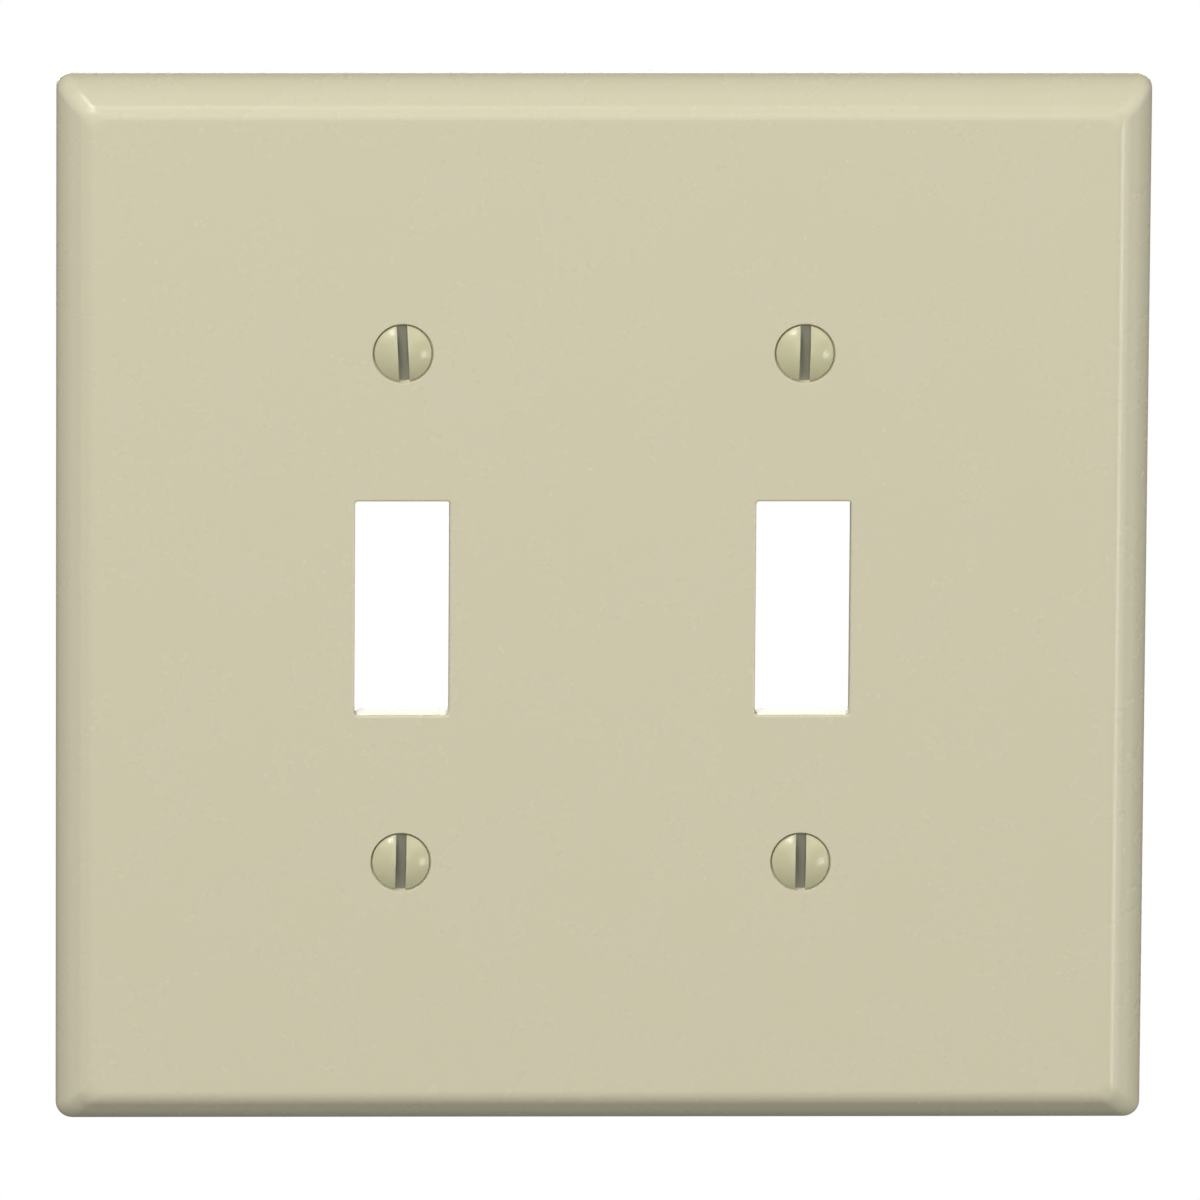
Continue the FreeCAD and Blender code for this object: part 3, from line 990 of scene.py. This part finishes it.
marked = add_node(
    threading,
    "GeometryNodeStoreNamedAttribute",
    {"Geometry": sealed.outputs[0], "Name": "from_seat", "Value": place},
    data_type="FLOAT_VECTOR",
    domain="POINT",
)
unlean = add_node(threading, "ShaderNodeMath", {0: given["Lean"], 1: -1.0}, operation="MULTIPLY")
facing = add_node(threading, "ShaderNodeCombineXYZ", {"X": math.pi / 2, "Y": unlean.outputs[0]})
seated = add_node(
    threading,
    "GeometryNodeTransform",
    {"Geometry": marked.outputs[0], "Translation": given["Seat"], "Rotation": facing.outputs[0]},
)
realized = add_node(threading, "GeometryNodeRealizeInstances", {0: seated.outputs[0]})
enamelled = add_node(
    threading, "GeometryNodeSetMaterial", {"Geometry": realized.outputs[0], "Material": given["Enamel"]}
)
own_place = add_node(
    threading,
    "GeometryNodeInputNamedAttribute",
    {"Name": "from_seat"},
    data_type="FLOAT_VECTOR",
)
own_parts = add_node(threading, "ShaderNodeSeparateXYZ", {0: own_place.outputs["Attribute"]})
paint_line = add_node(
    threading,
    "ShaderNodeMath",
    {0: given["Paint Edge"], 1: -1.0},
    operation="MULTIPLY",
)
unpainted = add_node(
    threading,
    "FunctionNodeCompare",
    {0: own_parts.outputs["Z"], 1: paint_line.outputs[0]},
    data_type="FLOAT",
    operation="LESS_THAN",
)
plated = add_node(
    threading,
    "GeometryNodeSetMaterial",
    {"Geometry": enamelled.outputs[0], "Selection": unpainted.outputs[0], "Material": given["Plating"]},
)
threading.links.new(plated.outputs[0], result["Mesh"])

# Stoving enamel, sprayed: glossy and slightly wavy. On the slot's edges and inside the slot it is
# thin and duller, and the grey of the plated steel comes through.
enamel = bpy.data.materials.new("ivory_stoving_enamel")
enamel.use_nodes = True
tree = enamel.node_tree
shader = tree.nodes["Principled BSDF"]
shader.inputs["IOR"].default_value = 1.52
where = add_node(tree, "ShaderNodeTexCoord")
own = add_node(tree, "ShaderNodeAttribute", attribute_name="from_seat")
own_parts = add_node(tree, "ShaderNodeSeparateXYZ", {0: own.outputs["Vector"]})
off_middle = add_node(tree, "ShaderNodeMath", {0: own_parts.outputs["X"]}, operation="ABSOLUTE")
speckle = add_node(
    tree,
    "ShaderNodeTexNoise",
    {"Vector": where.outputs["Object"], "Scale": 1 / (0.5 * MM), "Detail": 4.0},
)
ragged = add_node(
    tree,
    "ShaderNodeMath",
    {0: speckle.outputs["Fac"], 1: 0.12 * MM, 2: off_middle.outputs[0]},
    operation="MULTIPLY_ADD",
)
thin_paint = add_node(
    tree,
    "ShaderNodeMapRange",
    {
        "Value": ragged.outputs[0],
        "From Min": 0.62 * MM,
        "From Max": 0.68 * MM,
        "To Min": 1.0,
        "To Max": 0.0,
    },
)
cloud = add_node(
    tree,
    "ShaderNodeTexNoise",
    {"Vector": where.outputs["Object"], "Scale": 1 / (2.5 * MM), "Detail": 3.0},
)
coat = add_node(
    tree,
    "ShaderNodeMix",
    {0: cloud.outputs["Fac"], 6: linear("cdc9a1"), 7: linear("d3cfab")},
    data_type="RGBA",
)
colour = add_node(
    tree,
    "ShaderNodeMix",
    {0: thin_paint.outputs["Result"], 6: coat.outputs[2], 7: linear("9a9885")},
    data_type="RGBA",
)
tree.links.new(colour.outputs[2], shader.inputs["Base Color"])
gloss = add_node(
    tree,
    "ShaderNodeMapRange",
    {
        "Value": thin_paint.outputs["Result"],
        "From Min": 0.0,
        "From Max": 1.0,
        "To Min": 0.18,
        "To Max": 0.4,
    },
)
tree.links.new(gloss.outputs["Result"], shader.inputs["Roughness"])
metal = add_node(tree, "ShaderNodeMath", {0: thin_paint.outputs["Result"], 1: 0.3}, operation="MULTIPLY")
tree.links.new(metal.outputs[0], shader.inputs["Metallic"])
wave = add_node(
    tree,
    "ShaderNodeTexNoise",
    {"Vector": where.outputs["Object"], "Scale": 1 / (0.9 * MM), "Detail": 2.0},
)
skin = add_node(
    tree,
    "ShaderNodeBump",
    {"Height": wave.outputs["Fac"], "Strength": 1.0, "Distance": 0.008 * MM},
)
tree.links.new(skin.outputs["Normal"], shader.inputs["Normal"])

# Bright zinc plating: a pale bluish-grey metal, softened by handling.
zinc = bpy.data.materials.new("zinc_plated_steel")
zinc.use_nodes = True
tree = zinc.node_tree
shader = tree.nodes["Principled BSDF"]
shader.inputs["Metallic"].default_value = 1.0
where = add_node(tree, "ShaderNodeTexCoord")
spangle = add_node(
    tree,
    "ShaderNodeTexNoise",
    {"Vector": where.outputs["Object"], "Scale": 1 / (0.7 * MM), "Detail": 5.0},
)
colour = add_node(
    tree,
    "ShaderNodeMix",
    {0: spangle.outputs["Fac"], 6: linear("a9adb2"), 7: linear("c9ccce")},
    data_type="RGBA",
)
tree.links.new(colour.outputs[2], shader.inputs["Base Color"])
gloss = add_node(
    tree,
    "ShaderNodeMapRange",
    {"Value": spangle.outputs["Fac"], "From Min": 0.3, "From Max": 0.7, "To Min": 0.26, "To Max": 0.4},
)
tree.links.new(gloss.outputs["Result"], shader.inputs["Roughness"])

profile_points = lay_points("screw_profile", side_profile())
screw_sizes = {
    "Side Profile": profile_points,
    "Steps Along": 33,
    "Reach": paint_reach,
    "Head Radius": head_radius,
    "Head Edge": head_edge,
    "Cone Slope": math.tan(seat_half_angle),
    "Crown": crown,
    "Crown Radius": crown_radius,
    "Slot Half Width": slot_half,
    "Slot Floor": crown - slot_depth,
    "Ragged Edge": 0.08 * MM,
    "Pitch": thread_pitch,
    "Root Radius": crest_radius - thread_depth,
    "Thread Depth": thread_depth,
    "Tip Radius": crest_radius - tip_bevel,
    "Length": screw_length,
    "Paint Edge": paint_edge,
    "Enamel": enamel,
    "Plating": zinc,
}
for number, (screw_name, seat) in enumerate(screw_seats.items()):
    side_name = screw_name.removesuffix("_screw")
    own_sizes = {"Lean": math.radians(screw_leans[screw_name]), "Seat": seat, "Seed": float(number)}
    cut_points = lay_points(f"slotted_screw_{side_name}", head_cut())
    screw = run_tree(cut_points, threading, {**screw_sizes, **own_sizes})
    finish_surface(screw)
    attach(screw, screw_name)
    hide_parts(f"screw_{side_name}")
bpy.data.objects.remove(profile_points)

# ---------------------------------------------------------------------------------------------
# Studio: a pure white floor well below the plate, two key lights high on the left, a broad soft
# light in front, one above each shoulder, one at each side, a small one low on the right, and
# one behind for the back.
# ---------------------------------------------------------------------------------------------

floor_mesh = bpy.data.meshes.new("studio_floor")
floor_reach = 6.0
floor_level = -0.7
floor_corners = ((-1, -1), (1, -1), (1, 1), (-1, 1))
floor_points = [(x * floor_reach, y * floor_reach, floor_level) for x, y in floor_corners]
floor_mesh.from_pydata(floor_points, [], [(0, 1, 2, 3)])
floor = bpy.data.objects.new("studio_floor", floor_mesh)
bpy.context.scene.collection.objects.link(floor)
floor.visible_diffuse = False
floor.visible_glossy = False
white = bpy.data.materials.new("white_studio_floor")
white.use_nodes = True
glow = white.node_tree.nodes["Principled BSDF"]
glow.inputs["Base Color"].default_value = linear("000000")
glow.inputs["Specular IOR Level"].default_value = 0.0
glow.inputs["Emission Color"].default_value = linear("ffffff")
glow.inputs["Emission Strength"].default_value = 1.0
floor_mesh.materials.append(white)


def softbox(name, azimuth, elevation, distance, size, power):
    """An area light aimed at the plate; azimuth 0 is straight in front, and right is positive."""
    light = bpy.data.lights.new(name, "AREA")
    light.shape = "RECTANGLE"
    light.size, light.size_y = size
    light.energy = power
    turn = math.radians(azimuth)
    lift = math.radians(elevation)
    towards = Vector((math.sin(turn) * math.cos(lift), -math.cos(turn) * math.cos(lift), math.sin(lift)))
    lamp = bpy.data.objects.new(name, light)
    lamp.location = towards * distance
    lamp.rotation_euler = towards.to_track_quat("Z", "Y").to_euler()
    bpy.context.scene.collection.objects.link(lamp)


softbox("key_light", -28, 56, 2.0, (0.6, 0.6), 11.5)
softbox("low_key_light", -24, 32, 2.0, (0.5, 0.35), 5.2)
softbox("left_front_light", -42, 30, 2.2, (1.4, 1.2), 7.1)
softbox("right_front_light", 42, 30, 2.2, (1.4, 1.2), 6.3)
softbox("front_light", 0, 8, 3.5, (2.4, 2.4), 21.3)
softbox("left_light", -75, 5, 2.0, (1.6, 2.2), 6.2)
softbox("right_light", 75, 5, 2.0, (1.6, 2.2), 11.0)
softbox("small_right_light", 46, -13, 2.0, (0.45, 0.45), 3.5)
softbox("back_light", 180, 4, 2.5, (1.4, 1.0), 24.0)

studio = bpy.data.worlds.new("studio_air")
studio.use_nodes = True
studio.node_tree.nodes["Background"].inputs["Color"].default_value = linear("ffffff")
studio.node_tree.nodes["Background"].inputs["Strength"].default_value = 0.15
bpy.context.scene.world = studio
bpy.context.scene.view_settings.view_transform = "Standard"

# The camera stands far back and a little above and to the left, with a long lens.
camera_azimuth = math.radians(-1.68)
camera_elevation = math.radians(14.59)
camera_roll = math.radians(0.39)
camera_distance = 2.7
aim = Vector((-0.0001, 0, -0.00065))
back = Vector(
    (
        math.sin(camera_azimuth) * math.cos(camera_elevation),
        -math.cos(camera_azimuth) * math.cos(camera_elevation),
        math.sin(camera_elevation),
    )
)
level_right = Vector((math.cos(camera_azimuth), math.sin(camera_azimuth), 0))
level_up = back.cross(level_right)
right = math.cos(camera_roll) * level_right + math.sin(camera_roll) * level_up
up = back.cross(right)
lens = bpy.data.cameras.new("long_lens")
lens.sensor_width = 36
lens.lens = 703.8
lens.clip_start = 0.1
lens.clip_end = 50
camera = bpy.data.objects.new("camera", lens)
camera.matrix_world = Matrix((right, up, back)).transposed().to_4x4()
camera.location = aim + back * camera_distance
bpy.context.scene.collection.objects.link(camera)
bpy.context.scene.camera = camera
